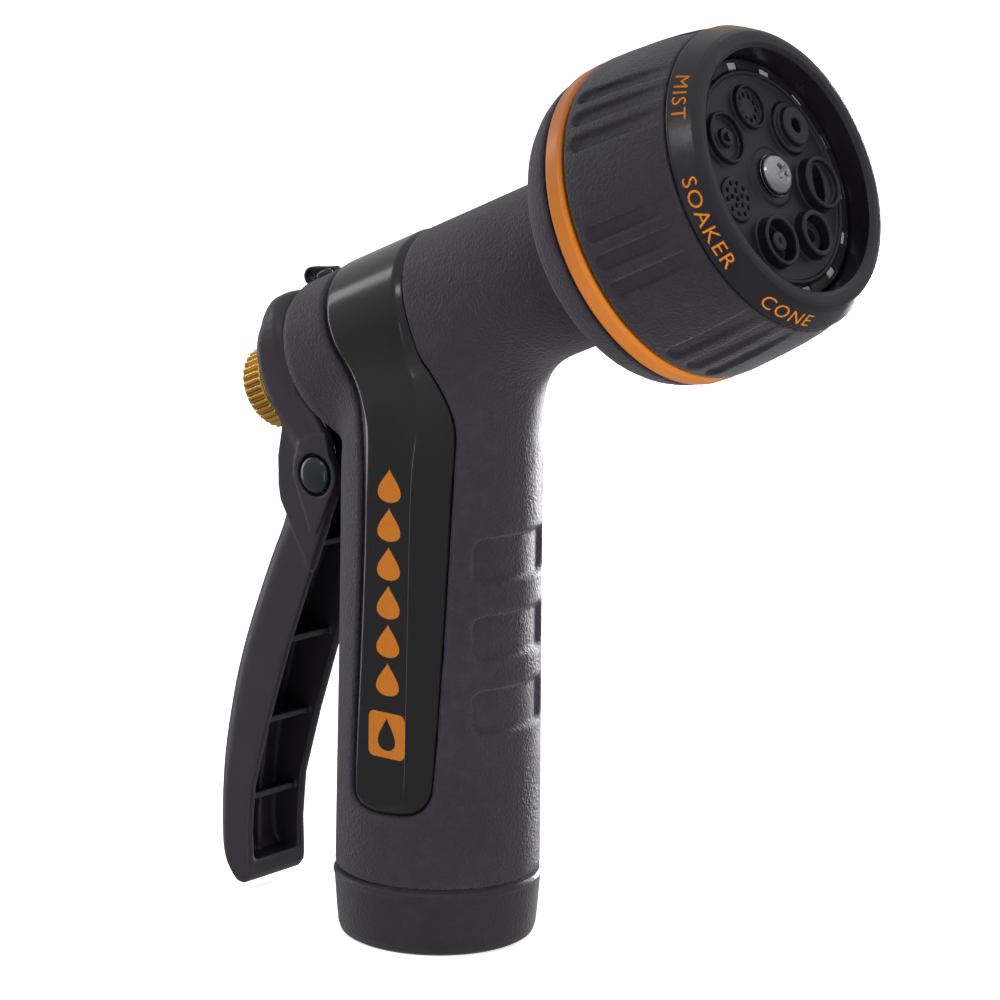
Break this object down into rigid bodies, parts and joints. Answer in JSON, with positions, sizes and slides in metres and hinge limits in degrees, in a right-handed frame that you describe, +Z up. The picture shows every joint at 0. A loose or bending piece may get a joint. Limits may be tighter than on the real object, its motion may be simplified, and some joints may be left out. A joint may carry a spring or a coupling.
{
  "type": "hose spray nozzle",
  "caption": "Pistol-grip garden hose nozzle with a rear squeeze lever, rubber skin and a rotating multi-pattern turret head.",
  "frame": {"origin": "centre of the hose-end face at the bottom of the handle", "axes": "+Z up the handle's axis, +X to the spray side, Y across; the body is symmetric about the XZ plane"},
  "size_m": [0.1297, 0.0566, 0.166],
  "materials": {
    "black_enamel": "gloss",
    "textured_rubber": "fine leather grain",
    "seal_rubber": "smooth",
    "black_nylon": "satin moulded",
    "black_abs": "semi gloss",
    "orange_plastic": "semi gloss",
    "grey_acetal": "smooth",
    "brass": "bright turned",
    "stainless": "bright",
    "blued_steel": "dark gloss"
  },
  "bodies": {
    "root": {"body_casting": "black_enamel", "grip_overmold": "textured_rubber", "hose_end_bumper": "textured_rubber", "hose_washer": "seal_rubber", "pivot_pin": "blued_steel", "valve_seat": "grey_acetal", "packing_nut": "brass", "packing_oring": "seal_rubber", "latch_pin": "stainless", "port_plate": "grey_acetal", "port_seal": "seal_rubber", "detent_ball": "stainless", "detent_spring": "stainless", "spindle_oring": "seal_rubber", "center_screw": "stainless", "screw_washer": "stainless"},
    "lever": {"lever": "black_nylon"},
    "stem": {"valve_stem": "brass", "poppet_washer": "seal_rubber", "poppet_nut": "brass", "return_spring": "stainless"},
    "flow_nut": {"flow_nut": "brass"},
    "turret": {"drum_core": "grey_acetal", "accent_ring": "orange_plastic", "drum_grip": "textured_rubber", "front_bezel": "black_abs", "pattern_disc": "black_abs", "cone_insert": "black_abs", "mist_insert": "black_abs", "jet_insert": "brass"},
    "latch": {"hold_open_latch": "stainless"}
  },
  "joints": [
    {"name": "lever_pivot", "type": "hinge", "parent": "root", "child": "lever", "pos_m": [-0.0223, 0, 0.0822], "axis": [0, -1, 0], "range_deg": [0, 11], "stiffness_Nm_per_rad": 1.2, "springref_deg": -2.86},
    {"name": "stem_slide", "type": "slide", "parent": "root", "child": "stem", "axis": [-0.9185, 0, -0.3954], "range_m": [0, 0.0041], "deforming": ["return_spring"]},
    {"name": "flow_nut_turn", "type": "hinge", "parent": "stem", "child": "flow_nut", "pos_m": [-0.03812, 0, 0.09602], "axis": [-0.9185, 0, -0.3954], "continuous": true},
    {"name": "turret_turn", "type": "hinge", "parent": "root", "child": "turret", "pos_m": [0.0551, 0, 0.13615], "axis": [0.9185, 0, 0.3954], "continuous": true},
    {"name": "latch_flip", "type": "hinge", "parent": "root", "child": "latch", "pos_m": [-0.02576, 0, 0.11713], "axis": [0, 1, 0], "range_deg": [0, 100]}
  ],
  "couplings": [
    {"joint": "stem_slide", "follows": "lever_pivot", "m_per_rad": 0.02036}
  ]
}
